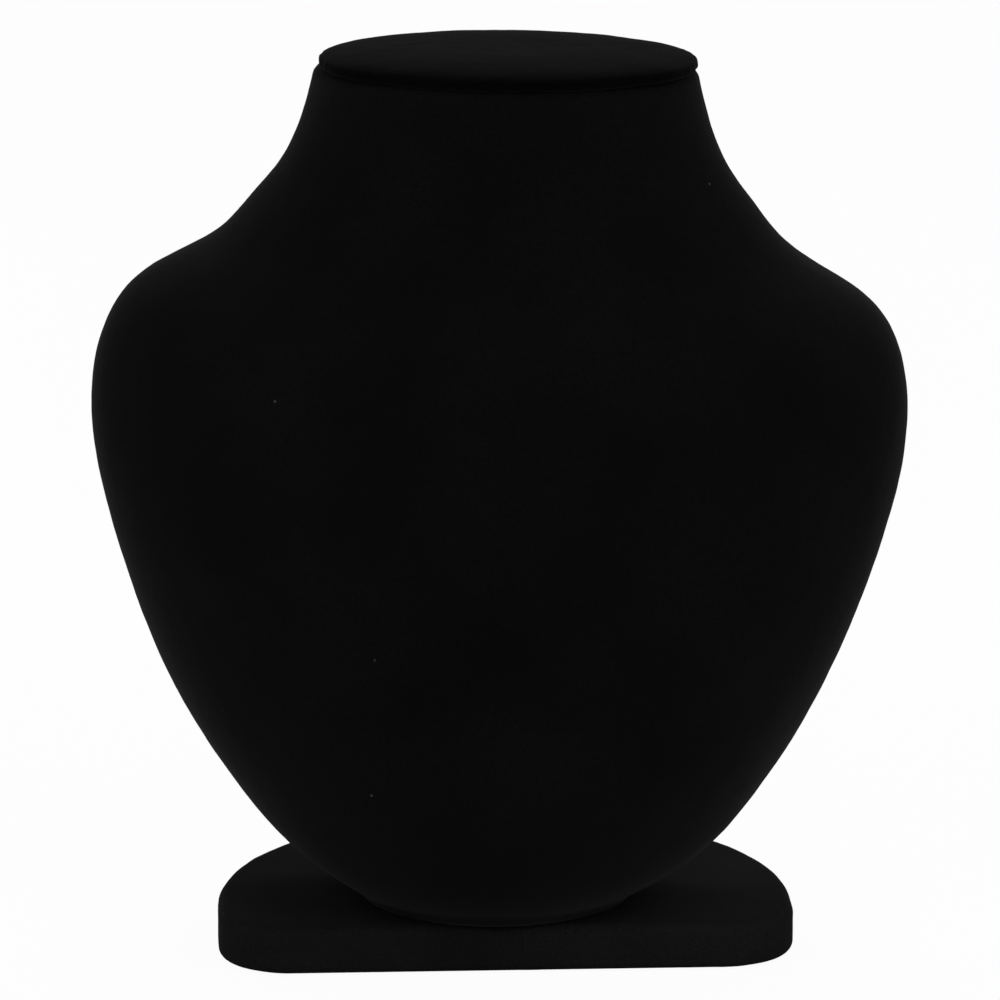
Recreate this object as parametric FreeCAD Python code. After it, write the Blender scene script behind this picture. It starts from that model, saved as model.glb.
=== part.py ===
import FreeCAD, Part
import math
import os
from FreeCAD import Vector

# A velvet-covered necklace bust on a velvet-covered base plate.
# Frame: origin at the middle of the base's underside, +X to the viewer's right, -Y to the front, +Z up.

# Cloth and fits
PILE = 1.2              # thickness of the velvet with its pile
FIT = 0.1               # play of a piece that lies in another
HEM = 12.0              # width of the velvet that is turned under the base board
SOLE_HEM = 3.0          # width of the velvet that is turned under the bust, square to its side

# Base plate: straight front, rounded front corners, half-round rear
BASE_WIDTH = 134.5
BASE_DEPTH = 92.0
BASE_THICKNESS = 12.0
BASE_CORNER = 16.5      # radius of the two front corners in plan
BASE_SIDE = 8.25        # straight stretch of each side, between the corner and the round rear
BASE_ROUND = 2.5        # rounding of the covered upper edge
BASE_BEVEL = 1.2        # and bevel of the lower one
LINER = 0.8             # felt sheet glued under the base
LINER_MARGIN = 4.0      # from the base's outline to the felt's edge

# Place of the bust on the base
BUST_SETBACK = 35.1     # from the base's front edge to the bust's mid line
BUST_ASIDE = -0.8
BUST_TURN = -6.1        # the bust is screwed on a little turned
BUST_ROLL = 0.8         # and its hand-covered form hangs a little to the right
BUST_LEAN = 5.0         # the back leans rearwards
PIVOT = 108.0           # height above the sole that the lean and the roll turn about

# Form of the bust, by level sections: half widths, and depths in front of and behind the widest line
BUST_HEIGHT = 194.6     # from the sole to the top of the neck
SOLE_HALF = 28.0
SHOULDER_HALF = 94.8
NECK_HALF = 44.3
SOLE_FRONT = 25.0
CHEST_FRONT = 55.0
NECK_FRONT = 31.0
SOLE_BACK = 14.0
BODY_BACK = 16.0
NECK_BACK = 26.0

# From the sole up to the shoulders: share of the height, then how full the width, the front and
# the back are (0 as at the sole, 1 as at their fullest), then the back's squareness (2 is an oval)
BODY_ROWS = (
    (0.000, 0.000, 0.00, 0.0, 3.5),
    (0.030, 0.155, 0.28, 0.6, 4.0),
    (0.090, 0.373, 0.54, 1.0, 5.0),
    (0.170, 0.556, 0.75, 1.0, 5.0),
    (0.270, 0.728, 0.93, 1.0, 5.0),
    (0.375, 0.856, 1.00, 1.0, 5.0),
    (0.480, 0.951, 0.94, 1.0, 5.0),
    (0.580, 1.000, 0.78, 1.0, 5.0),
)
# From the shoulders up the neck: the same, with 0 as at the neck's top and 1 as at the shoulders
NECK_ROWS = (
    (0.658, 0.976, 0.53, 0.98, 4.5),
    (0.700, 0.913, 0.41, 0.93, 4.0),
    (0.740, 0.772, 0.27, 0.82, 3.4),
    (0.776, 0.543, 0.17, 0.68, 2.9),
    (0.812, 0.372, 0.09, 0.50, 2.5),
    (0.863, 0.208, 0.00, 0.26, 2.2),
    (0.925, 0.073, -0.03, 0.09, 2.0),
    (1.000, 0.000, 0.00, 0.00, 2.0),
)
OVERRUN = 4.0           # the sections run on past the sole and the neck, to be trimmed level
ROUND_STEPS = 8         # points along each half of a covered section
PLAIN_STEPS = 12        # and of a plain one, which the cover hides

# Moulded shell
WALL = 2.5
SOLE = 3.0              # thickness of the shell's closed sole
BACK_EXTRA = 3.5        # the back wall is thicker by this, to take the panel's rebate

# Back panel
PANEL_SHARE = 0.74      # half width of the panel as a share of the bust's half width
PANEL_LOW = 14.0        # its lower and upper ends above the sole
PANEL_HIGH = 130.0
PANEL_CORNER = 8.0
PANEL_BOARD = 2.5
PANEL_SUNK = 0.9        # the covered panel lies this far below the back's flat
PANEL_CLOTH = 0.8
PANEL_HEM = 7.0
LEDGE = 5.0             # width of the ledge that carries the panel
ROW_GAP = 3.0           # rows of the form nearer to the panel's ends than this don't bend its sides

# Cap on the neck
CAP_THICKNESS = 3.9
CAP_SETBACK = 0.8       # the cap's edge lies inside the neck's
CAP_ASIDE = 0.7         # and the cap sits a little to the right
CAP_END = 0.76          # radius of the oval's ends as a share of its half depth
CAP_ROUND = 1.5         # rounding of its upper rim
CAP_BOARD = 1.4
CAP_CLOTH = 0.8
CAP_HEM = 6.0

# Block and screws that join the bust to the base
BLOCK_WIDTH = 38.0
BLOCK_DEPTH = 22.0
BLOCK_HEIGHT = 20.0
BLOCK_MIDDLE = -14.0    # y of the block's middle, from the bust's mid line
SCREW_SPACING = 22.0
SCREW_SHANK = 3.5
SCREW_HEAD = 7.0
SCREW_LENGTH = 25.0
SCREW_POINT = 4.0
SLOT_WIDTH = 1.0
SLOT_LENGTH = 4.2
SLOT_DEPTH = 1.2

BIG = 400.0             # size of the boxes that trim the form
REACH = 12.0            # how far a cutter runs out past what it cuts
EVEN = 1e-6             # lengths closer than this are the same


def slab_between(low, high):
    """A box that keeps everything between two heights."""
    return Part.makeBox(BIG, BIG, high - low, Vector(-BIG / 2, -BIG / 2, low))


def half_loop(height, half, depth, power, steps):
    """Points from one side of a section round to the other, along its back (its front for a negative depth)."""
    points = [Vector(half, 0, height)]
    for step in range(1, steps):
        angle = math.pi * step / steps
        across = math.copysign(abs(math.cos(angle)) ** (2 / power), math.cos(angle))
        points.append(Vector(half * across, depth * math.sin(angle) ** (2 / power), height))
    return points + [Vector(-half, 0, height)]


def curve(points):
    """A smooth edge through points, marked alike on every section so that the loft stays even."""
    spline = Part.BSplineCurve()
    marks = [index / (len(points) - 1) for index in range(len(points))]
    spline.interpolate(Points=points, Parameters=marks)
    return spline.toShape()


def section(height, half, front, back, square, plain):
    """Closed outline at one height: an elliptic front and a squarer back, in short flats if plain."""
    steps = PLAIN_STEPS if plain else ROUND_STEPS
    behind = half_loop(height, half, back, square, steps)
    ahead = half_loop(height, half, -front, 2.0, steps)
    ahead.reverse()
    if plain:
        return Part.makePolygon(behind + ahead[1:])
    return Part.Wire([curve(behind), curve(ahead)])


def blend(low, high, share):
    return low + share * (high - low)


def run_on(row, neighbour, height):
    """A row beyond the end of the form, in line with its last two rows."""
    share = (height - row[0]) / (row[0] - neighbour[0])
    values = [value + share * (value - before) for value, before in zip(row[1:4], neighbour[1:4])]
    return (height, *values, row[4])


def list_stations():
    """Height, half width, front depth, back depth and squareness of every section, in order."""
    rows = []
    for share, width, front, back, square in BODY_ROWS:
        rows.append((share * BUST_HEIGHT, blend(SOLE_HALF, SHOULDER_HALF, width),
                     blend(SOLE_FRONT, CHEST_FRONT, front), blend(SOLE_BACK, BODY_BACK, back), square))
    for share, width, front, back, square in NECK_ROWS:
        rows.append((share * BUST_HEIGHT, blend(NECK_HALF, SHOULDER_HALF, width),
                     blend(NECK_FRONT, CHEST_FRONT, front), blend(NECK_BACK, BODY_BACK, back), square))
    below = run_on(rows[0], rows[1], -OVERRUN)
    above = run_on(rows[-1], rows[-2], BUST_HEIGHT + OVERRUN)
    return [below] + rows + [above]


STATIONS = list_stations()


def slope(index, column):
    """How fast one column of the stations changes with height."""
    lower = STATIONS[max(index - 1, 0)]
    upper = STATIONS[min(index + 1, len(STATIONS) - 1)]
    return (upper[column] - lower[column]) / (upper[0] - lower[0])


def inset_value(index, column, inset):
    """A half width or depth, reduced so that the layer outside it is even in thickness."""
    return STATIONS[index][column] - inset * math.hypot(1, slope(index, column))


def roll(shape):
    shape.rotate(Vector(0, 0, PIVOT), Vector(0, 1, 0), BUST_ROLL)
    return shape


def form(inset, low, high, back_extra=0.0):
    """The bust's form, inset by a layer and trimmed level between two heights above the sole."""
    plain = inset > 0
    wires = []
    for index, station in enumerate(STATIONS):
        height = station[0]
        back = inset_value(index, 3, inset) - back_extra
        wire = section(height, inset_value(index, 1, inset), inset_value(index, 2, inset), back,
                       station[4], plain)
        wire.translate(Vector(0, (height - PIVOT) * math.tan(math.radians(BUST_LEAN)), 0))
        wires.append(wire)
    return roll(Part.makeLoft(wires, True, plain)).common(slab_between(low, high))


def place(shape):
    """Sets a piece of the bust on the base."""
    shape.rotate(Vector(0, 0, 0), Vector(0, 0, 1), BUST_TURN)
    shape.translate(Vector(BUST_ASIDE, BUST_SETBACK - BASE_DEPTH / 2, BASE_THICKNESS))
    return shape


def panel_outline(inset):
    """Outline of the back panel, drawn upright; its sides follow the bust's own."""
    low = PANEL_LOW + inset
    high = PANEL_HIGH - inset

    def half_at(height):
        for below, above in zip(STATIONS, STATIONS[1:]):
            if below[0] <= height <= above[0]:
                share = (height - below[0]) / (above[0] - below[0])
                return PANEL_SHARE * blend(below[1], above[1], share) - inset
    between = [row[0] for row in STATIONS if low + ROW_GAP < row[0] < high - ROW_GAP]
    right = [Vector(half_at(height), 0, height - PIVOT) for height in [low] + between + [high]]
    left = [Vector(-point.x, 0, point.z) for point in right]
    edges = []
    for points in (right, left):
        spline = Part.BSplineCurve()
        spline.interpolate(Points=points)
        edges.append(spline.toShape())
    bottom = Part.makeLine(left[0], right[0])
    top = Part.makeLine(left[-1], right[-1])
    return Part.Wire(Part.sortEdges([edges[0], top, edges[1], bottom])[0])


def is_thickness_edge(edge, thickness):
    start = edge.Vertexes[0].Point
    end = edge.Vertexes[-1].Point
    return abs(abs(start.y - end.y) - thickness) < EVEN and abs(start.x - end.x) < EVEN


def panel_slab(inset, near, far):
    """The panel's outline as a plate between two depths behind the widest line, corners rounded."""
    plate = Part.Face(panel_outline(inset)).extrude(Vector(0, far - near, 0))
    corners = [edge for edge in plate.Edges if is_thickness_edge(edge, far - near)]
    plate = plate.makeFillet(PANEL_CORNER - inset / 2, corners)
    plate.translate(Vector(0, near, 0))
    plate.rotate(Vector(0, 0, 0), Vector(1, 0, 0), -BUST_LEAN)
    plate.translate(Vector(0, 0, PIVOT))
    return roll(plate)


# Depths of the back panel's faces behind the widest line
PANEL_FACE = BODY_BACK - PANEL_SUNK
PANEL_SEAT = PANEL_FACE - PANEL_BOARD - 2 * PANEL_CLOTH


def panel_opening():
    """What the bust's cover and shell leave free for the panel."""
    return panel_slab(-FIT, PANEL_SEAT, PANEL_FACE + REACH)


def screw_places():
    return [Vector(side * SCREW_SPACING / 2, BLOCK_MIDDLE, 0) for side in (-1, 1)]


def bust_velvet():
    cloth = form(0, 0, BUST_HEIGHT)
    cloth = cloth.cut(form(PILE, PILE, BUST_HEIGHT - PILE))
    cloth = cloth.cut(form(SOLE_HEM, -PILE, 2 * PILE))
    cloth = cloth.cut(form(PILE + WALL, BUST_HEIGHT - 2 * PILE, BUST_HEIGHT + PILE))
    return place(cloth.cut(panel_opening()))


def bust_shell():
    shell = form(PILE, PILE, BUST_HEIGHT - PILE)
    shell = shell.cut(form(PILE + WALL, PILE + SOLE, BUST_HEIGHT + PILE, BACK_EXTRA))
    shell = shell.cut(panel_opening())
    shell = shell.cut(panel_slab(LEDGE, 0, PANEL_FACE))
    for spot in screw_places():
        shell = shell.cut(Part.makeCylinder(SCREW_SHANK / 2 + FIT, 2 * SOLE, spot))
    return place(shell)


def back_panel():
    return place(panel_slab(PANEL_CLOTH, PANEL_SEAT + PANEL_CLOTH, PANEL_FACE - PANEL_CLOTH))


def back_velvet():
    cloth = panel_slab(0, PANEL_SEAT, PANEL_FACE)
    cloth = cloth.cut(panel_slab(PANEL_CLOTH, PANEL_SEAT + PANEL_CLOTH, PANEL_FACE - PANEL_CLOTH))
    return place(cloth.cut(panel_slab(PANEL_HEM, PANEL_SEAT - PANEL_CLOTH, PANEL_SEAT + 2 * PANEL_CLOTH)))


def cap_outline(inset):
    """The cap's oval on top of the neck, inset from its edge: four arcs that run into each other."""
    edge = CAP_SETBACK + inset
    half = NECK_HALF - edge
    depth = (NECK_FRONT + NECK_BACK) / 2 - edge
    small = CAP_END * depth
    large = (half ** 2 + depth ** 2 - 2 * half * small) / (2 * (depth - small))
    meet = math.atan2(large - depth, half - small)
    arcs = []
    for middle, radius, start, end in (
        (Vector(half - small, 0, 0), small, -meet, meet),
        (Vector(0, depth - large, 0), large, meet, math.pi - meet),
        (Vector(small - half, 0, 0), small, math.pi - meet, math.pi + meet),
        (Vector(0, large - depth, 0), large, math.pi + meet, 2 * math.pi - meet),
    ):
        arcs.append(Part.Arc(Part.Circle(middle, Vector(0, 0, 1), radius), start, end).toShape())
    oval = Part.Face(Part.Wire(arcs))
    lean = (BUST_HEIGHT - PIVOT) * math.tan(math.radians(BUST_LEAN))
    aside = (BUST_HEIGHT - PIVOT) * math.sin(math.radians(BUST_ROLL)) + CAP_ASIDE
    oval.translate(Vector(aside, lean + (NECK_BACK - NECK_FRONT) / 2, BUST_HEIGHT))
    return oval


def cap_layer(inset, low, high):
    """One level layer of the cap, between two heights above the neck."""
    layer = cap_outline(inset).extrude(Vector(0, 0, high - low))
    layer.translate(Vector(0, 0, low))
    return layer


def cap_board():
    return place(cap_layer(CAP_CLOTH, CAP_CLOTH, CAP_CLOTH + CAP_BOARD))


def cap_foam():
    return place(cap_layer(CAP_CLOTH, CAP_CLOTH + CAP_BOARD, CAP_THICKNESS - CAP_CLOTH))


def level_edges(shape, height):
    """The edges of a shape that lie level at one height."""
    return [edge for edge in shape.Edges
            if edge.BoundBox.ZLength < EVEN and abs(edge.BoundBox.ZMin - height) < EVEN]


def cap_velvet():
    cloth = cap_layer(0, 0, CAP_THICKNESS)
    cloth = cloth.makeFillet(CAP_ROUND, level_edges(cloth, BUST_HEIGHT + CAP_THICKNESS))
    cloth = cloth.cut(cap_layer(CAP_CLOTH, CAP_CLOTH, CAP_THICKNESS - CAP_CLOTH))
    return place(cloth.cut(cap_layer(CAP_HEM, 0, CAP_CLOTH)))


def mounting_block():
    corner = Vector(-BLOCK_WIDTH / 2, BLOCK_MIDDLE - BLOCK_DEPTH / 2, PILE + SOLE)
    block = Part.makeBox(BLOCK_WIDTH, BLOCK_DEPTH, BLOCK_HEIGHT, corner)
    for spot in screw_places():
        block = block.cut(Part.makeCylinder(SCREW_SHANK / 2 + FIT, BLOCK_HEIGHT, spot))
    return place(block)


def rear_arc(half, shoulder, rear):
    """The base's rear, from its right side round to its left: half a circle, or half an oval."""
    depth = rear - shoulder
    middle = Vector(0, shoulder, 0)
    if abs(depth - half) < EVEN:
        return Part.Arc(Part.Circle(middle, Vector(0, 0, 1), half), 0, math.pi).toShape()
    side = middle + Vector(half, 0, 0)
    tip = middle + Vector(0, depth, 0)
    if half > depth:
        return Part.Arc(Part.Ellipse(side, tip, middle), 0, math.pi).toShape()
    oval = Part.Ellipse(tip, middle - Vector(half, 0, 0), middle)
    return Part.Arc(oval, -math.pi / 2, math.pi / 2).toShape()


def base_plan(inset):
    """Base outline: straight front, quarter-round front corners, short straight sides, round rear."""
    half = BASE_WIDTH / 2 - inset
    corner = BASE_CORNER - inset
    front = inset - BASE_DEPTH / 2
    side_start = front + corner
    shoulder = BASE_CORNER + BASE_SIDE - BASE_DEPTH / 2
    up = Vector(0, 0, 1)
    right_corner = Part.Circle(Vector(half - corner, side_start, 0), up, corner)
    left_corner = Part.Circle(Vector(corner - half, side_start, 0), up, corner)
    return Part.Face(Part.Wire([
        Part.makeLine(Vector(corner - half, front, 0), Vector(half - corner, front, 0)),
        Part.Arc(right_corner, 1.5 * math.pi, 2 * math.pi).toShape(),
        Part.makeLine(Vector(half, side_start, 0), Vector(half, shoulder, 0)),
        rear_arc(half, shoulder, BASE_DEPTH / 2 - inset),
        Part.makeLine(Vector(-half, shoulder, 0), Vector(-half, side_start, 0)),
        Part.Arc(left_corner, math.pi, 1.5 * math.pi).toShape(),
    ]))


def base_layer(inset, low, high):
    """A level layer of the base's outline, between two heights."""
    layer = base_plan(inset).extrude(Vector(0, 0, high - low))
    layer.translate(Vector(0, 0, low))
    return layer


def base_holes(radius, low, high):
    """Holes for the screws' shanks, between two heights above the floor."""
    holes = []
    for spot in screw_places():
        hole = Part.makeCylinder(radius, high - low, Vector(spot.x, spot.y, low - BASE_THICKNESS))
        holes.append(place(hole))
    return holes


def base_screws():
    """Two countersunk wood screws, driven from below."""
    head_height = (SCREW_HEAD - SCREW_SHANK) / 2
    screws = []
    for spot in screw_places():
        bottom = Vector(spot.x, spot.y, LINER + PILE + FIT - BASE_THICKNESS)
        head = Part.makeCone(SCREW_HEAD / 2, SCREW_SHANK / 2, head_height, bottom)
        straight = SCREW_LENGTH - SCREW_POINT
        shank = Part.makeCylinder(SCREW_SHANK / 2, straight, bottom)
        point = Part.makeCone(SCREW_SHANK / 2, 0, SCREW_POINT, bottom + Vector(0, 0, straight))
        screw = head.fuse([shank, point]).removeSplitter()
        for turn in (0, 90):
            slot = Part.makeBox(SLOT_LENGTH, SLOT_WIDTH, SLOT_DEPTH,
                                bottom - Vector(SLOT_LENGTH / 2, SLOT_WIDTH / 2, 0))
            slot.rotate(bottom, Vector(0, 0, 1), turn)
            screw = screw.cut(slot)
        screws.append(place(screw))
    return Part.makeCompound(screws)


def base_board():
    board = base_layer(PILE, LINER + PILE, BASE_THICKNESS - PILE)
    head_height = (SCREW_HEAD - SCREW_SHANK) / 2
    for hole in base_holes(SCREW_SHANK / 2 + FIT, 0, BASE_THICKNESS):
        board = board.cut(hole)
    for spot in screw_places():
        bottom = Vector(spot.x, spot.y, LINER + PILE - BASE_THICKNESS)
        sink = Part.makeCone(SCREW_HEAD / 2 + 2 * FIT, SCREW_SHANK / 2 + FIT, head_height + FIT, bottom)
        board = board.cut(place(sink))
    return board


def base_velvet():
    cloth = base_layer(0, LINER, BASE_THICKNESS)
    cloth = cloth.makeFillet(BASE_ROUND, level_edges(cloth, BASE_THICKNESS))
    cloth = cloth.makeChamfer(BASE_BEVEL, level_edges(cloth, LINER))
    cloth = cloth.cut(base_layer(PILE, LINER + PILE, BASE_THICKNESS - PILE))
    cloth = cloth.cut(base_layer(HEM, 0, LINER + PILE))
    for hole in base_holes(SCREW_SHANK / 2 + FIT, BASE_THICKNESS - 2 * PILE, BASE_THICKNESS + PILE):
        cloth = cloth.cut(hole)
    return cloth


def base_liner():
    return base_layer(LINER_MARGIN, 0, LINER)


NODES = {
    "base_liner": base_liner,
    "base_board": base_board,
    "base_velvet": base_velvet,
    "base_screws": base_screws,
    "mounting_block": mounting_block,
    "bust_shell": bust_shell,
    "bust_velvet": bust_velvet,
    "back_panel": back_panel,
    "back_velvet": back_velvet,
    "cap_board": cap_board,
    "cap_foam": cap_foam,
    "cap_velvet": cap_velvet,
}

os.makedirs("parts", exist_ok=True)
for name, make in NODES.items():
    shape = make()
    shape.exportStep("parts/" + name + ".step")
    print(name, len(shape.Solids), "solids", round(shape.Volume, 1), "mm3", shape.isValid())
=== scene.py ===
import math

import bmesh
import bpy
import numpy as np
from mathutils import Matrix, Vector, noise
from mathutils.bvhtree import BVHTree


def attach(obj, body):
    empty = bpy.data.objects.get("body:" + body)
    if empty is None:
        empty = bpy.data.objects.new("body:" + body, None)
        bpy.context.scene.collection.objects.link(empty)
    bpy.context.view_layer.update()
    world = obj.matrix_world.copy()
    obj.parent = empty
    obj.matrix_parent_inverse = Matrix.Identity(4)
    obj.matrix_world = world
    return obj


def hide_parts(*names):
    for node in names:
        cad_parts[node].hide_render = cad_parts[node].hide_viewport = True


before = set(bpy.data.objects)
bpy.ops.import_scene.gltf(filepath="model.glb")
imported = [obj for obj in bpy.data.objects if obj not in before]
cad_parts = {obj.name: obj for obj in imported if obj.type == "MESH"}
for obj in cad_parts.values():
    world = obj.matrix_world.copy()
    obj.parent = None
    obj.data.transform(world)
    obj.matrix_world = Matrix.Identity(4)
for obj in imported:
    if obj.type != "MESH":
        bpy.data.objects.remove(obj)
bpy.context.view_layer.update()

# Sizes are in metres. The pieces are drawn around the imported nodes, so their sizes come from the
# frame.
MM = 0.001

# Camera: the photograph's view
CAMERA_AZIMUTH = -2.8
CAMERA_ELEVATION = 15.0
CAMERA_DISTANCE = 2.0
CAMERA_TARGET = (-0.5 * MM, -10.9 * MM, 105 * MM)
PIXELS_PER_METRE = 4290
FRAME_PIXELS = 1000
SENSOR = 36.0

# Studio. Each lamp has a place, a size and a power.
WORLD_LIGHT = 0.45
FLOOR_GLOW = 0.96
FLOOR_SIZE = 12
FLOOR_COLOUR = (0.8, 0.8, 0.8, 1)
WHITE = (1, 1, 1, 1)
LAMP_AIM = (0, 0, 0.1)
LAMPS = {
    "left": ((-0.9, -1.0, 1.1), (0.9, 0.9), 5.5),
    "right": ((0.9, -1.0, 1.1), (0.9, 0.9), 7.0),
    "top": ((0.0, 0.3, 1.4), (1.2, 0.8), 6),
}

# Velvets: body colour, sheen and gloss, as the light of the photograph shows each cover
BLACK_VELVET = (0.0026, 0.020, 0.02)
# The cap's copy of the black velvet has a darker body colour than the bust's: painted shade, which
# keeps its top from reading too bright under the top lamp.
CAP_VELVET_PAINTED_SHADE = (0.001, 0.019, 0.007)
# The base's copy of the black velvet has a lighter body colour, about three times the bust's:
# painted light, for the light thrown up from the floor onto the base's front.
BASE_VELVET_PAINTED_LIGHT = (0.0079, 0.001, 0.01)
VELVET_ROUGHNESS = 0.95
SHEEN_ROUGHNESS = 0.45
NAP_SCALE = 28
NAP_DETAIL = 3
PILE_SCALE = 1500
PILE_DETAIL = 2
PILE_RANGE = (0.12, 0.42)
PILE_CONTRAST = 0.3
PILE_BUMP = 0.35
PILE_HEIGHT = 0.3 * MM

# Pile, the same on every cover: how far it is uneven, in a coarse wave and a finer one
PILE_UNEVEN = 0.10 * MM
COARSE_WAVE = 9 * MM
FINE_WAVE = 3 * MM
FINE_SHARE = 0.5

# Lint on the pile
LINT_SCALE = 60
LINT_SIZE = 0.026
LINT_COLOUR = (0.035, 0.035, 0.037)

# Plain surfaces. Each node has a name, a colour, a roughness, and its grain's scale, contrast and
# bump.
GRAIN_DETAIL = 4
GRAIN_RANGE = (0.3, 0.7)
GRAIN_HEIGHT = 0.2 * MM
FINISHES = {
    "base_liner": ("felt_black", (0.012, 0.012, 0.012), 1.0, 900, 0.5, 0.4),
    "base_board": ("fibreboard", (0.34, 0.22, 0.12), 0.85, 700, 0.25, 0.1),
    "back_panel": ("back_board", (0.30, 0.20, 0.12), 0.85, 700, 0.25, 0.1),
    "cap_board": ("cap_card", (0.32, 0.27, 0.20), 0.9, 600, 0.15, 0.1),
    "cap_foam": ("padding", (0.55, 0.53, 0.46), 1.0, 1200, 0.2, 0.5),
    "bust_shell": ("shell", (0.60, 0.60, 0.57), 0.5, 250, 0.08, 0.1),
    "mounting_block": ("pine", (0.62, 0.42, 0.22), 0.7, 180, 0.2, 0.1),
    "base_screws": ("zinc_steel", (0.55, 0.56, 0.58), 0.35, 500, 0.1, 0.1),
}

# Bust's middle, read at a number of levels from the points near each
MIDDLE_LEVELS = 40
MIDDLE_BAND = 4 * MM
MIDDLE_DEGREE = 4

# Bust cover
SKIN_COLUMNS = 360
SKIN_ROWS = 200
SKIN_FLATNESS = 0.45
SKIN_RIM = 1.8 * MM
SOLE_RIM = 2.2 * MM
RIM_STEPS = 6
SKIN_VOXEL = 1.2 * MM
SKIN_SOFTENING = 3
SOFTENING_SHARE = 0.5
SKIN_HEM = 6 * MM
HEM_SMOOTHING = 12
LEVEL_NORMAL = 0.8
# Where the cover lies a little fuller than the form under it, in millimetres: place, reach, move
SETTLING = [
    ((52, -25, 22), 45, (1.7, 0, 0)),
    ((-52, -25, 22), 40, (0.8, 0, 0)),
    ((-80, 3, 160), 20, (-0.5, 0, 0.6)),
    ((-95, -15, 125), 45, (-0.3, 0, 0)),
    ((52, -10, 188), 22, (0.6, 0, 0)),
    ((-46, -8, 202), 16, (0.45, 0, 0)),
    ((-56, -10, 180), 16, (0.35, 0, 0)),
    ((-70, -20, 50), 22, (0.35, 0, 0)),
    ((71, -20, 53), 22, (0.35, 0, 0)),
]

# Opening for the back panel
OPENING_INSET = 0.5 * MM
OPENING_REACH = 12 * MM
OPENING_FLOOR = 0.8 * MM
OPENING_LEVEL = 0.5 * MM
OPENING_NORMAL = 0.6
PANEL_DEPTH = 8 * MM
PANEL_MARGIN = 1.5 * MM
PANEL_CLEAR = 9 * MM

# Back panel's cover
BACK_COLUMNS = 300
BACK_RINGS = 26
BACK_EDGE = 1.1 * MM
BACK_INNER_EDGE = 0.6 * MM
BACK_HEM = 7 * MM
BACK_EASE = 0.5 * MM

# Base cover
BASE_COLUMNS = 420
BASE_RINGS = 40
BASE_EDGE = 2.5 * MM
BASE_LOWER_EDGE = 2.0 * MM
BASE_HEM = 12 * MM

# Cap
CAP_COLUMNS = 260
CAP_RINGS = 30
CAP_LOWER_EDGE = 0.9 * MM
CAP_PROUD = 0.5 * MM
CAP_SIDE = 1.15 * MM
CAP_RISE = 1.9 * MM
CAP_CROWN = 1.2 * MM
CAP_FULLNESS = 1 / 3
CAP_DIP = 0.30 * MM
CAP_VOXEL = 1.1 * MM
CAP_PRESSURE = 4
CAP_MOVE = 0.35 * MM
CAP_GIVE = (0.3, 0.3, 1.0)
CAP_FRAMES = 20

# Edges and hems of the flat pieces
EDGE_STEPS = 7
WALL_RINGS = 4
HEM_RINGS = 4
OUTLINE_LEVEL = 0.4
FACING_NORMAL = 0.9

# Directions, and a distance that starts outside every surface
UP = Vector((0, 0, 1))
REARWARDS = Vector((0, 1, 0))
RAY_REACH = 0.25
FULL_TURN = 2 * math.pi
QUARTER_TURN = math.pi / 2


def link_object(name, data):
    thing = bpy.data.objects.new(name, data)
    bpy.context.scene.collection.objects.link(thing)
    return thing


def shade_soft(mesh):
    for polygon in mesh.polygons:
        polygon.use_smooth = True


def new_object(name, rings, faces, material):
    """A smooth piece from rings of points and the faces between them."""
    mesh = bpy.data.meshes.new(name)
    mesh.from_pydata([tuple(point) for ring in rings for point in ring], [], faces)
    mesh.validate()
    shade_soft(mesh)
    piece = link_object(name, mesh)
    mesh.materials.append(material)
    return piece


def tree_of(name):
    """A search tree over a node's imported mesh."""
    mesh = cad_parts[name].data
    verts = [vertex.co.copy() for vertex in mesh.vertices]
    return BVHTree.FromPolygons(verts, [list(polygon.vertices) for polygon in mesh.polygons])


def places_of(mesh):
    flat = np.empty(len(mesh.vertices) * 3)
    mesh.vertices.foreach_get("co", flat)
    return flat.reshape(-1, 3)


def put_places(mesh, places):
    mesh.vertices.foreach_set("co", places.ravel())
    mesh.update()


def turns_round(count):
    """Angles evenly spaced round a full turn."""
    return np.linspace(0, FULL_TURN, count, endpoint=False)


def nearest_turn(x, y, count):
    """Which of a number of evenly spaced angles is nearest to a direction."""
    turn = math.atan2(y, x) % FULL_TURN
    return round(turn / FULL_TURN * count) % count


def rings_to_faces(rings, columns):
    """Quads between rings of equal length, laid one after another."""
    faces = []
    for ring in range(rings - 1):
        for column in range(columns):
            after = (column + 1) % columns
            low = ring * columns
            high = low + columns
            faces.append((low + column, low + after, high + after, high + column))
    return faces


def lower_lid(columns):
    return tuple(reversed(range(columns)))


def upper_lid(rings, columns):
    return tuple(range((rings - 1) * columns, rings * columns))


def uneven(point, scale, seed):
    """Smooth noise from -1 to 1 at a place on the cloth."""
    return noise.noise(Vector(point) / scale + Vector((seed, 2 * seed, 3 * seed)))


def nudge(piece, panel, centre, reach, move):
    """Moves the points near a place a little. The move falls smoothly to nothing at its reach, and
    at the panel's plane."""
    places = places_of(piece.data)
    ahead = panel.far - (places - np.array(panel.centre)) @ np.array(panel.normal)
    near = np.linalg.norm(places - np.array(centre), axis=1) / reach
    share = np.clip(1 - near, 0, 1)
    share = share * share * (3 - 2 * share) * np.clip(ahead / PANEL_CLEAR, 0, 1)
    put_places(piece.data, places + share[:, None] * np.array(move))


def ruffle(piece, seed):
    """Moves a cover's points a little in and out, as a pile is never quite even."""
    mesh = piece.data
    places = places_of(mesh)
    normals = np.empty(len(mesh.vertices) * 3)
    mesh.vertex_normals.foreach_get("vector", normals)
    shifts = [uneven(place, COARSE_WAVE, seed) + FINE_SHARE * uneven(place, FINE_WAVE, seed + 1)
              for place in places]
    moves = normals.reshape(-1, 3) * np.array(shifts)[:, None] * PILE_UNEVEN
    put_places(mesh, places + moves)


# Materials


def start_material(name):
    material = bpy.data.materials.new(name)
    material.use_nodes = True
    nodes = material.node_tree.nodes
    return material, nodes, material.node_tree.links, nodes["Principled BSDF"]


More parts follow.
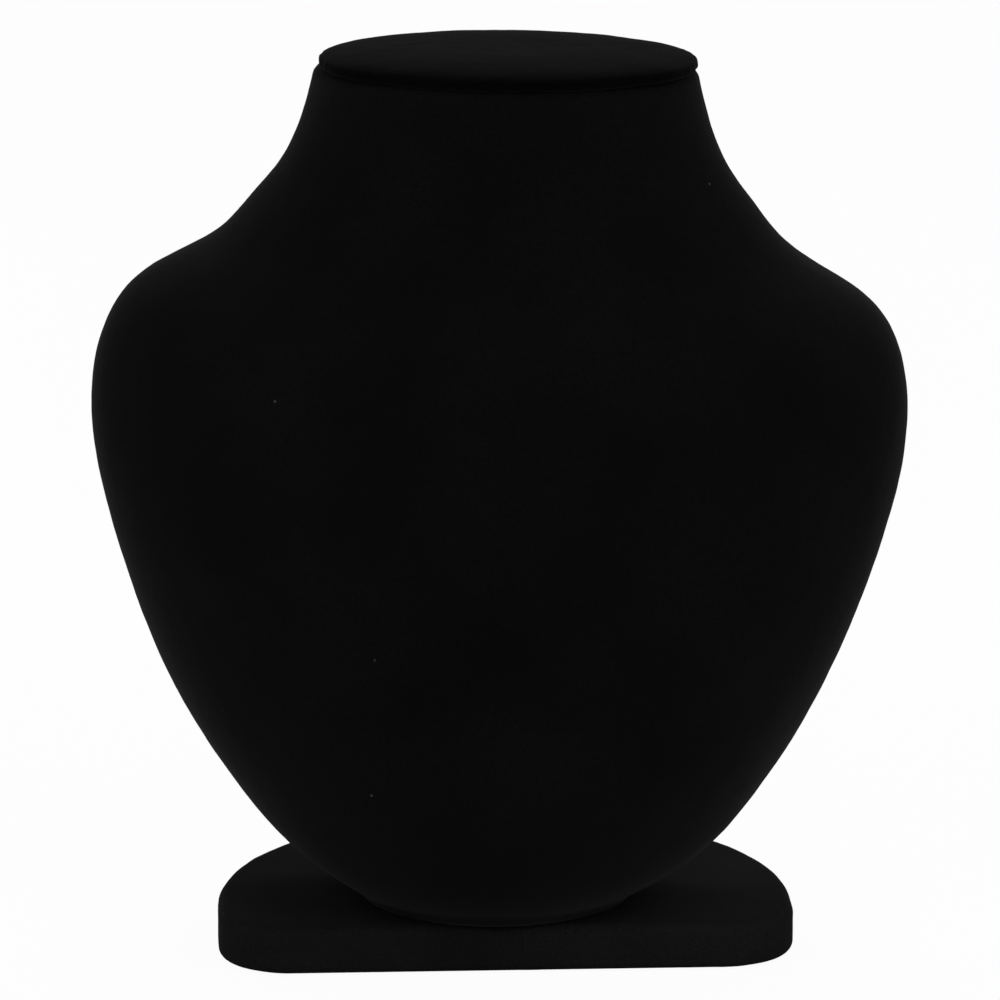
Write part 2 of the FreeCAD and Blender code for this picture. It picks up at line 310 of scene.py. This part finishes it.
def texture(nodes, links, kind, scale):
    """A procedural texture that is fixed to the piece."""
    place = nodes.new("ShaderNodeTexCoord")
    pattern = nodes.new(kind)
    pattern.inputs["Scale"].default_value = scale
    links.new(place.outputs["Object"], pattern.inputs["Vector"])
    return pattern


def grain_of(nodes, links, scale, detail):
    grain = texture(nodes, links, "ShaderNodeTexNoise", scale)
    grain.inputs["Detail"].default_value = detail
    return grain.outputs["Fac"]


def maths(nodes, links, operation, first, second):
    """Joins a value with another, or with a number."""
    node = nodes.new("ShaderNodeMath")
    node.operation = operation
    links.new(first, node.inputs[0])
    if isinstance(second, float):
        node.inputs[1].default_value = second
    else:
        links.new(second, node.inputs[1])
    return node.outputs["Value"]


def ramp_between(nodes, links, source, limits, colour, contrast):
    """A colour that goes from darker to lighter between two values of the source."""
    ramp = nodes.new("ShaderNodeValToRGB")
    shades = (1 - contrast, 1 + contrast)
    for element, limit, shade in zip(ramp.color_ramp.elements, limits, shades):
        element.position = limit
        element.color = (*[c * shade for c in colour], 1)
    links.new(source, ramp.inputs["Fac"])
    return ramp.outputs["Color"]


def bump_from(nodes, links, source, shader, strength, height):
    bump = nodes.new("ShaderNodeBump")
    bump.inputs["Strength"].default_value = strength
    bump.inputs["Distance"].default_value = height
    links.new(source, bump.inputs["Height"])
    links.new(bump.outputs["Normal"], shader.inputs["Normal"])


def velvet(name, depth, sheen, gloss):
    """Black cut-pile velvet: nearly no body colour, a soft sheen at grazing angles, and a fine
    uneven nap."""
    material, nodes, links, shader = start_material(name)
    shader.inputs["Roughness"].default_value = VELVET_ROUGHNESS
    shader.inputs["Specular IOR Level"].default_value = gloss
    shader.inputs["Sheen Weight"].default_value = sheen
    shader.inputs["Sheen Roughness"].default_value = SHEEN_ROUGHNESS
    shader.inputs["Sheen Tint"].default_value = WHITE
    nap = grain_of(nodes, links, NAP_SCALE, NAP_DETAIL)
    pile = grain_of(nodes, links, PILE_SCALE, PILE_DETAIL)
    both = maths(nodes, links, "MULTIPLY", nap, pile)
    colour = ramp_between(nodes, links, both, PILE_RANGE, (depth, depth, depth), PILE_CONTRAST)
    links.new(with_lint(nodes, links, colour), shader.inputs["Base Color"])
    bump_from(nodes, links, pile, shader, PILE_BUMP, PILE_HEIGHT)
    return material


def with_lint(nodes, links, colour):
    """Adds a few small specks of lint to the colour of the pile."""
    cells = texture(nodes, links, "ShaderNodeTexVoronoi", LINT_SCALE)
    speck = nodes.new("ShaderNodeMapRange")
    speck.inputs["From Min"].default_value = LINT_SIZE
    speck.inputs["From Max"].default_value = LINT_SIZE / 2
    links.new(cells.outputs["Distance"], speck.inputs["Value"])
    mix = nodes.new("ShaderNodeMix")
    mix.data_type = "RGBA"
    # A mix of colours takes its share at 0 and its colours at 6 and 7, and gives its result at 2.
    mix.inputs[7].default_value = (*LINT_COLOUR, 1)
    links.new(speck.outputs["Result"], mix.inputs[0])
    links.new(colour, mix.inputs[6])
    return mix.outputs[2]


def plain(name, colour, roughness, scale, contrast, bump):
    """A plain surface with a fine procedural grain."""
    material, nodes, links, shader = start_material(name)
    shader.inputs["Roughness"].default_value = roughness
    grain = grain_of(nodes, links, scale, GRAIN_DETAIL)
    shade = ramp_between(nodes, links, grain, GRAIN_RANGE, colour, contrast)
    links.new(shade, shader.inputs["Base Color"])
    bump_from(nodes, links, grain, shader, bump, GRAIN_HEIGHT)
    return material


# Flat pieces


def hit(tree, centre, direction):
    """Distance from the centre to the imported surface, met from outside."""
    place, _, _, distance = tree.ray_cast(centre + direction * RAY_REACH, -direction, RAY_REACH)
    return None if place is None else RAY_REACH - distance


class Plate:
    """The plane and outline of a flat piece, read from its packed cover."""

    def __init__(self, node, facing, upright, columns):
        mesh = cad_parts[node].data
        points = places_of(mesh)
        self.normal = Vector((0, 0, 0))
        for polygon in mesh.polygons:
            if polygon.normal.dot(facing) > FACING_NORMAL:
                self.normal += polygon.normal * polygon.area
        self.normal.normalize()
        self.across = upright.cross(self.normal).normalized()
        self.up = self.normal.cross(self.across)
        self.centre = Vector((points.min(axis=0) + points.max(axis=0)) / 2)
        depths = (points - np.array(self.centre)) @ np.array(self.normal)
        self.near = depths.min()
        self.far = depths.max()
        self.count = columns
        tree = tree_of(node)
        level = self.near * (1 - OUTLINE_LEVEL) + self.far * OUTLINE_LEVEL
        middle = self.at(Vector((0, 0)), level)
        self.outline = []
        for turn in turns_round(columns):
            direction = self.across * math.cos(turn) + self.up * math.sin(turn)
            reach = hit(tree, middle, direction)
            self.outline.append(Vector((math.cos(turn), math.sin(turn))) * reach)
        self.outwards = []
        for index in range(columns):
            along = self.outline[(index + 1) % columns] - self.outline[index - 1]
            self.outwards.append(Vector((along.y, -along.x)).normalized())

    def at(self, flat, depth):
        return self.centre + self.across * flat.x + self.up * flat.y + self.normal * depth

    def ring(self, inset, depth, share=1):
        pairs = zip(self.outline, self.outwards)
        return [self.at((place - out * inset) * share, depth) for place, out in pairs]

    def depth_of(self, point):
        return (point - self.centre).dot(self.normal)

    def covers(self, point, margin):
        """Whether a point lies within the outline, grown by a margin, seen along the normal."""
        offset = point - self.centre
        x, y = offset.dot(self.across), offset.dot(self.up)
        edge = self.outline[nearest_turn(x, y, self.count)]
        return math.hypot(x, y) < edge.length + margin

    def wall(self, inset, floor, reach):
        """A closed block within the outline, from above the inner face outwards."""
        verts = self.ring(inset, self.near + floor) + self.ring(inset, self.far + reach)
        faces = rings_to_faces(2, self.count)
        faces += [lower_lid(self.count), upper_lid(2, self.count)]
        mesh = bpy.data.meshes.new("wall")
        mesh.from_pydata([tuple(point) for point in verts], [], faces)
        return mesh


def soft_plate(name, plate, material, inner_edge, upper_rings, hem=None, inset=0):
    """Cloth round a flat piece: turned in behind by its hem, or closed there if it has none,
    rounded at its inner edge, then over the face by the upper rings."""
    rings = []
    if hem:
        for step in range(HEM_RINGS):
            inwards = inset + hem + (inner_edge - hem) * step / HEM_RINGS
            rings.append(plate.ring(inwards, plate.near))
    for step in range(EDGE_STEPS):
        angle = QUARTER_TURN * step / (EDGE_STEPS - 1)
        inwards = inset + inner_edge * (1 - math.sin(angle))
        rings.append(plate.ring(inwards, plate.near + inner_edge * (1 - math.cos(angle))))
    rings += upper_rings
    faces = rings_to_faces(len(rings), plate.count)
    last = (len(rings) - 1) * plate.count
    middle = len(rings) * plate.count
    for column in range(plate.count):
        faces.append((last + column, last + (column + 1) % plate.count, middle))
    if not hem:
        faces.append(lower_lid(plate.count))
    top = plate.depth_of(sum(rings[-1], Vector()) / plate.count)
    rings.append([plate.at(Vector((0, 0)), top)])
    return new_object(name, rings, faces, material)


def flat_face(plate, inner_edge, outer_edge, rings_in, inset=0):
    """Rings up a straight side, round its outer edge and in over a flat face."""
    low = plate.near + inner_edge
    high = plate.far - outer_edge
    rings = []
    for step in range(1, WALL_RINGS):
        rings.append(plate.ring(inset, low + (high - low) * step / WALL_RINGS))
    for step in range(EDGE_STEPS):
        angle = QUARTER_TURN * step / (EDGE_STEPS - 1)
        inwards = inset + outer_edge * (1 - math.cos(angle))
        rings.append(plate.ring(inwards, high + outer_edge * math.sin(angle)))
    for step in range(1, rings_in):
        rings.append(plate.ring(inset + outer_edge, plate.far, 1 - step / rings_in))
    return rings


def padded_face(plate, low, rings_in):
    """Rings over a padded face: a short upright side, a full round edge, and a slight crown."""
    side = [low + CAP_SIDE * step / WALL_RINGS for step in range(1, WALL_RINGS + 1)]
    rings = [plate.ring(-CAP_PROUD, plate.near + height) for height in side]
    for step in range(1, rings_in):
        angle = QUARTER_TURN * step / rings_in
        share = math.cos(angle) ** CAP_FULLNESS
        height = low + CAP_SIDE + CAP_RISE * math.sin(angle) + CAP_CROWN * (1 - share ** 2)
        rings.append(plate.ring(-CAP_PROUD, plate.near + height, share))
    return rings


# Cloth


def keep_changes(piece):
    """Puts the result of a piece's modifiers into its mesh."""
    bpy.context.view_layer.update()
    graph = bpy.context.evaluated_depsgraph_get()
    done = bpy.data.meshes.new_from_object(piece.evaluated_get(graph))
    piece.modifiers.clear()
    piece.data = done
    shade_soft(done)


def add_net(piece, voxel):
    """Lays an even net of faces over a closed piece."""
    net = piece.modifiers.new("net", "REMESH")
    net.mode = "VOXEL"
    net.voxel_size = voxel


def soften(piece, voxel, rounds):
    """Nets a closed piece and rounds its edges, as cloth goes round a corner."""
    add_net(piece, voxel)
    smooth = piece.modifiers.new("smooth", "SMOOTH")
    smooth.factor = SOFTENING_SHARE
    smooth.iterations = rounds
    keep_changes(piece)


def cut_opening(skin, wall):
    """Cuts the place of the back panel out of the cover."""
    cutter = link_object("cutter", wall)
    change = skin.modifiers.new("opening", "BOOLEAN")
    change.operation = "DIFFERENCE"
    change.object = cutter
    change.solver = "EXACT"
    keep_changes(skin)
    bpy.data.objects.remove(cutter)


def open_up(piece, unwanted):
    """Takes out the faces that aren't cloth, and evens the edges that are left."""
    mesh = bmesh.new()
    mesh.from_mesh(piece.data)
    bmesh.ops.delete(mesh, geom=[face for face in mesh.faces if unwanted(face)], context="FACES")
    rim = {}
    for edge in mesh.edges:
        if edge.is_boundary:
            for vertex in edge.verts:
                rim.setdefault(vertex, []).append(edge.other_vert(vertex))
    for _ in range(HEM_SMOOTHING):
        moved = {v: v.co / 2 + (n[0].co + n[1].co) / 4 for v, n in rim.items() if len(n) == 2}
        for vertex, place in moved.items():
            vertex.co = place
    mesh.to_mesh(piece.data)
    mesh.free()


def swell(piece):
    """Fills a pad as its padding does, by a short cloth simulation with pressure inside."""
    add_net(piece, CAP_VOXEL)
    keep_changes(piece)
    start = places_of(piece.data)
    cloth = piece.modifiers.new("cloth", "CLOTH")
    cloth.settings.use_pressure = True
    cloth.settings.uniform_pressure_force = CAP_PRESSURE
    cloth.settings.effector_weights.gravity = 0
    scene = bpy.context.scene
    for step in range(1, CAP_FRAMES + 1):
        scene.frame_set(step)
    graph = bpy.context.evaluated_depsgraph_get()
    swollen = places_of(piece.evaluated_get(graph).data)
    scene.frame_set(1)
    piece.modifiers.clear()
    moves = (swollen - start) * CAP_GIVE
    lengths = np.linalg.norm(moves, axis=1, keepdims=True)
    moves *= CAP_MOVE / np.maximum(lengths, CAP_MOVE)
    put_places(piece.data, start + moves)
    smooth = piece.modifiers.new("smooth", "SUBSURF")
    smooth.levels = 1
    keep_changes(piece)


# Bust cover


def body_middles(points):
    """The bust's middle at every height, smoothed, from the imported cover's own points."""
    levels = np.linspace(points[:, 2].min(), points[:, 2].max(), MIDDLE_LEVELS)
    middles = []
    for level in levels:
        near = points[np.abs(points[:, 2] - level) < MIDDLE_BAND]
        middles.append((near[:, :2].min(axis=0) + near[:, :2].max(axis=0)) / 2)
    middles = np.array(middles)
    fit = np.polynomial.Polynomial.fit
    return [fit(levels, middles[:, axis], MIDDLE_DEGREE) for axis in (0, 1)]


def behind(panel, point):
    """Whether a point of the back lies over the panel or just beside it."""
    return (panel.depth_of(point) > panel.near - PANEL_DEPTH
            and panel.covers(point, PANEL_MARGIN))


def cross(first, second):
    return first.x * second.y - first.y * second.x


class Skin:
    """The bust's surface as rows of distances from its middle, straight across the open back."""

    def __init__(self, node, panel):
        points = places_of(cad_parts[node].data)
        tree = tree_of(node)
        fits = body_middles(points)
        low = points[:, 2].min() + SOLE_RIM
        high = points[:, 2].max() - SKIN_RIM
        self.directions = [
            Vector((math.cos(turn), math.sin(turn) * SKIN_FLATNESS, 0)).normalized()
            for turn in turns_round(SKIN_COLUMNS)]
        self.centres = []
        self.radii = np.zeros((SKIN_ROWS, SKIN_COLUMNS))
        for row, height in enumerate(np.linspace(low, high, SKIN_ROWS)):
            centre = Vector((fits[0](height), fits[1](height), height))
            self.centres.append(centre)
            self.measure(row, tree, centre, panel)

    def measure(self, row, tree, centre, panel):
        """Fills one row, with a straight line from side to side of the open back."""
        radii, directions = self.radii[row], self.directions
        open_columns = []
        for column, direction in enumerate(directions):
            distance = hit(tree, centre, direction)
            if distance is None or behind(panel, centre + direction * distance):
                open_columns.append(column)
            else:
                radii[column] = distance
        if open_columns:
            first, last = open_columns[0] - 1, open_columns[-1] + 1
            start = directions[first] * radii[first]
            along = directions[last] * radii[last] - start
            for column in open_columns:
                radii[column] = cross(start, along) / cross(directions[column], along)

    def ring(self, row, inset=0, rise=0):
        """The points of a row, moved in and up."""
        centre = self.centres[row]
        pairs = zip(self.directions, self.radii[row])
        return [centre + out * radius - out * inset + UP * rise for out, radius in pairs]

    def rings(self):
        """All rows, with a rounded rim below and above them."""
        lower, upper = [], []
        for step in range(RIM_STEPS):
            angle = QUARTER_TURN * step / RIM_STEPS
            inset = SOLE_RIM * (1 - math.sin(angle))
            lower.append(self.ring(0, inset, -SOLE_RIM * math.cos(angle)))
            angle = QUARTER_TURN * (step + 1) / RIM_STEPS
            inset = SKIN_RIM * (1 - math.cos(angle))
            upper.append(self.ring(-1, inset, SKIN_RIM * math.sin(angle)))
        return lower + [self.ring(row) for row in range(SKIN_ROWS)] + upper

    def beyond_hem(self, place, row):
        """Whether a place under the sole or on top of the neck lies further in than the hem."""
        away = place - self.centres[row]
        column = nearest_turn(away.x, away.y / SKIN_FLATNESS, SKIN_COLUMNS)
        return Vector((away.x, away.y)).length < self.radii[row, column] - SKIN_HEM


def bust_cover(material, panel):
    """The velvet over the front, sides and back of the bust, turned in under the sole, over the
    top of the neck and at the opening for the panel."""
    skin = Skin("bust_velvet", panel)
    rings = skin.rings()
    faces = rings_to_faces(len(rings), SKIN_COLUMNS)
    faces += [lower_lid(SKIN_COLUMNS), upper_lid(len(rings), SKIN_COLUMNS)]
    piece = new_object("bust_cover", rings, faces, material)
    cut_opening(piece, panel.wall(OPENING_INSET, OPENING_FLOOR, OPENING_REACH))
    soften(piece, SKIN_VOXEL, SKIN_SOFTENING)
    sole = skin.centres[0].z - SOLE_RIM
    neck = skin.centres[-1].z + SKIN_RIM
    opening = panel.near + OPENING_FLOOR

    def not_cloth(face):
        place = face.calc_center_median()
        level = abs(face.normal.z) > LEVEL_NORMAL
        if level and not sole + SKIN_RIM < place.z < neck - SKIN_RIM / 2:
            return skin.beyond_hem(place, 0 if place.z < (sole + neck) / 2 else -1)
        return (abs(panel.depth_of(place) - opening) < OPENING_LEVEL
                and abs(face.normal.dot(panel.normal)) > OPENING_NORMAL
                and panel.covers(place, 0))

    open_up(piece, not_cloth)
    for centre, reach, move in SETTLING:
        nudge(piece, panel, Vector(centre) * MM, reach * MM, Vector(move) * MM)
    ruffle(piece, seed=1)
    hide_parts("bust_velvet")
    return piece


# Other covers


def back_cover(material, panel):
    """The velvet wrapped round the back board, with soft edges."""
    face = flat_face(panel, BACK_INNER_EDGE, BACK_EDGE, BACK_RINGS, BACK_EASE)
    piece = soft_plate("back_cover", panel, material, BACK_INNER_EDGE, face, BACK_HEM, BACK_EASE)
    ruffle(piece, seed=5)
    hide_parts("back_velvet")
    return piece


def cap_pad(material):
    """The padded cap: a thin oval pad with soft edges, a little lower at its right end."""
    plate = Plate("cap_velvet", UP, REARWARDS, CAP_COLUMNS)
    face = padded_face(plate, CAP_LOWER_EDGE, CAP_RINGS)
    piece = soft_plate("cap_pad", plate, material, CAP_LOWER_EDGE, face, inset=-CAP_PROUD)
    places = places_of(piece.data)
    bottom = places[:, 2].min()
    height = (places[:, 2] - bottom) / (places[:, 2].max() - bottom)
    aside = np.maximum(places[:, 0], 0) / places[:, 0].max()
    places[:, 2] -= CAP_DIP * height * aside
    put_places(piece.data, places)
    swell(piece)
    places = places_of(piece.data)
    places[:, 2] = np.maximum(places[:, 2], bottom)
    put_places(piece.data, places)
    ruffle(piece, seed=7)
    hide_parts("cap_velvet", "cap_foam")
    return piece


def base_cover(material):
    """The velvet over the base's top and sides, turned under its lower edge."""
    plate = Plate("base_velvet", UP, REARWARDS, BASE_COLUMNS)
    face = flat_face(plate, BASE_LOWER_EDGE, BASE_EDGE, BASE_RINGS)
    piece = soft_plate("base_cover", plate, material, BASE_LOWER_EDGE, face, hem=BASE_HEM)
    ruffle(piece, seed=3)
    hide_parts("base_velvet")
    return piece


# Studio


def camera():
    data = bpy.data.cameras.new("camera")
    view = link_object("camera", data)
    azimuth = math.radians(CAMERA_AZIMUTH)
    elevation = math.radians(CAMERA_ELEVATION)
    level = math.cos(elevation)
    back = Vector((math.sin(azimuth) * level, -math.cos(azimuth) * level, math.sin(elevation)))
    view.location = Vector(CAMERA_TARGET) + back * CAMERA_DISTANCE
    view.rotation_euler = (-back).to_track_quat("-Z", "Y").to_euler()
    data.sensor_width = SENSOR
    data.lens = SENSOR * PIXELS_PER_METRE * CAMERA_DISTANCE / FRAME_PIXELS
    bpy.context.scene.camera = view


def lamp(name, place, size, power):
    data = bpy.data.lights.new(name, "AREA")
    data.shape = "RECTANGLE"
    data.size, data.size_y = size
    data.energy = power
    holder = link_object(name, data)
    holder.location = place
    aim = Vector(LAMP_AIM) - Vector(place)
    holder.rotation_euler = aim.to_track_quat("-Z", "Y").to_euler()


def seen(nodes, links):
    """1 for what is seen, straight, in a reflection or through a clear thing, and 0 for the light
    it gives."""
    path = nodes.new("ShaderNodeLightPath")
    total = path.outputs["Is Camera Ray"]
    for kind in ("Is Glossy Ray", "Is Transmission Ray"):
        total = maths(nodes, links, "MAXIMUM", total, path.outputs[kind])
    return total


def surroundings():
    """A soft even light from all round, which is seen as white."""
    world = bpy.data.worlds.new("studio")
    bpy.context.scene.world = world
    world.use_nodes = True
    nodes = world.node_tree.nodes
    links = world.node_tree.links
    background = nodes["Background"]
    background.inputs["Color"].default_value = WHITE
    strength = nodes.new("ShaderNodeMapRange")
    strength.inputs["To Min"].default_value = WORLD_LIGHT
    strength.inputs["To Max"].default_value = 1.0
    links.new(seen(nodes, links), strength.inputs["Value"])
    links.new(strength.outputs["Result"], background.inputs["Strength"])


def floor():
    """A pale floor, nearly white where it is seen, that keeps the object's shadow."""
    bpy.ops.mesh.primitive_plane_add(size=FLOOR_SIZE, location=(0, 0, 0))
    sheet = bpy.context.object
    sheet.name = "floor"
    material, nodes, links, shader = start_material("floor")
    shader.inputs["Base Color"].default_value = FLOOR_COLOUR
    shader.inputs["Roughness"].default_value = 1
    shader.inputs["Specular IOR Level"].default_value = 0
    glow = nodes.new("ShaderNodeEmission")
    glow.inputs["Color"].default_value = WHITE
    mix = nodes.new("ShaderNodeMixShader")
    share = maths(nodes, links, "MULTIPLY", seen(nodes, links), FLOOR_GLOW)
    links.new(share, mix.inputs["Fac"])
    links.new(shader.outputs["BSDF"], mix.inputs[1])
    links.new(glow.outputs["Emission"], mix.inputs[2])
    links.new(mix.outputs["Shader"], nodes["Material Output"].inputs["Surface"])
    sheet.data.materials.append(material)


def main():
    camera()
    black = velvet("velvet_black", *BLACK_VELVET)
    panel = Plate("back_velvet", REARWARDS, UP, BACK_COLUMNS)
    covers = [
        bust_cover(black, panel),
        back_cover(black, panel),
        # The cap's cover is a darker copy of the black velvet: painted shade.
        cap_pad(velvet("velvet_cap_painted_shade", *CAP_VELVET_PAINTED_SHADE)),
        # The base's cover is a lighter copy of the black velvet: painted light on its front.
        base_cover(velvet("velvet_base_painted_light", *BASE_VELVET_PAINTED_LIGHT)),
    ]
    for piece in covers:
        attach(piece, "root")
    for node, finish in FINISHES.items():
        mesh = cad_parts[node].data
        mesh.materials.clear()
        mesh.materials.append(plain(*finish))
    surroundings()
    for name, (place, size, power) in LAMPS.items():
        lamp(name, place, size, power)
    floor()
    bpy.context.scene.view_settings.view_transform = "Standard"


main()
